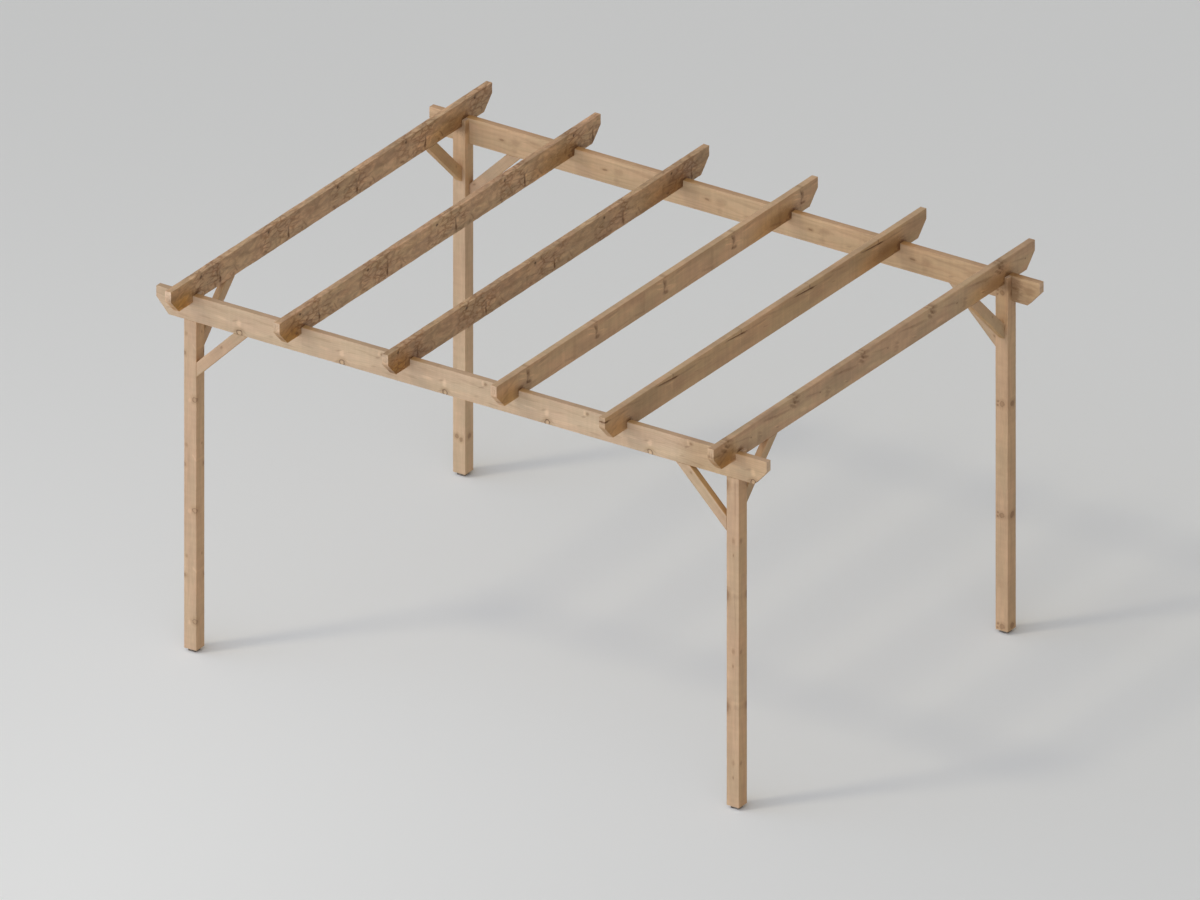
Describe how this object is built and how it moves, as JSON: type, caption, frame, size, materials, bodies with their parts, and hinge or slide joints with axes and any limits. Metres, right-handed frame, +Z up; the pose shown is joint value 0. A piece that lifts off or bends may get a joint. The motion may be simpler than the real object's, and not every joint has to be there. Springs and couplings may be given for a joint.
{
  "type": "garden pergola",
  "caption": "Free-standing open timber pergola with lapped posts, two long beams, notched level rafters and mitred corner braces.",
  "frame": {"origin": "on the floor, at the middle of the footprint", "axes": "+X along the beams from the left posts to the right posts, +Y along the rafters from the front beam to the back beam, +Z up"},
  "size_m": [4.4, 3.48, 2.5],
  "materials": {
    "post_timber": "planed softwood, lightly oiled, upright grain with knots",
    "beam_timber": "planed softwood, lightly oiled, long grain with small knots",
    "rafter_timber": "weathered softwood, wavy grain with drying cracks and knots",
    "brace_timber": "planed softwood, lightly oiled, mitred ends",
    "foot_pad": "matt moulded pad"
  },
  "bodies": {
    "root": {"front_left_foot": "foot_pad", "front_right_foot": "foot_pad", "back_left_foot": "foot_pad", "back_right_foot": "foot_pad", "front_left_post": "post_timber", "front_right_post": "post_timber", "back_left_post": "post_timber", "back_right_post": "post_timber", "front_beam": "beam_timber", "back_beam": "beam_timber", "rafter_1": "rafter_timber", "rafter_2": "rafter_timber", "rafter_3": "rafter_timber", "rafter_4": "rafter_timber", "rafter_5": "rafter_timber", "rafter_6": "rafter_timber", "front_left_beam_brace": "brace_timber", "front_right_beam_brace": "brace_timber", "back_left_beam_brace": "brace_timber", "back_right_beam_brace": "brace_timber", "front_left_rafter_brace": "brace_timber", "front_right_rafter_brace": "brace_timber", "back_left_rafter_brace": "brace_timber", "back_right_rafter_brace": "brace_timber"}
  },
  "joints": []
}
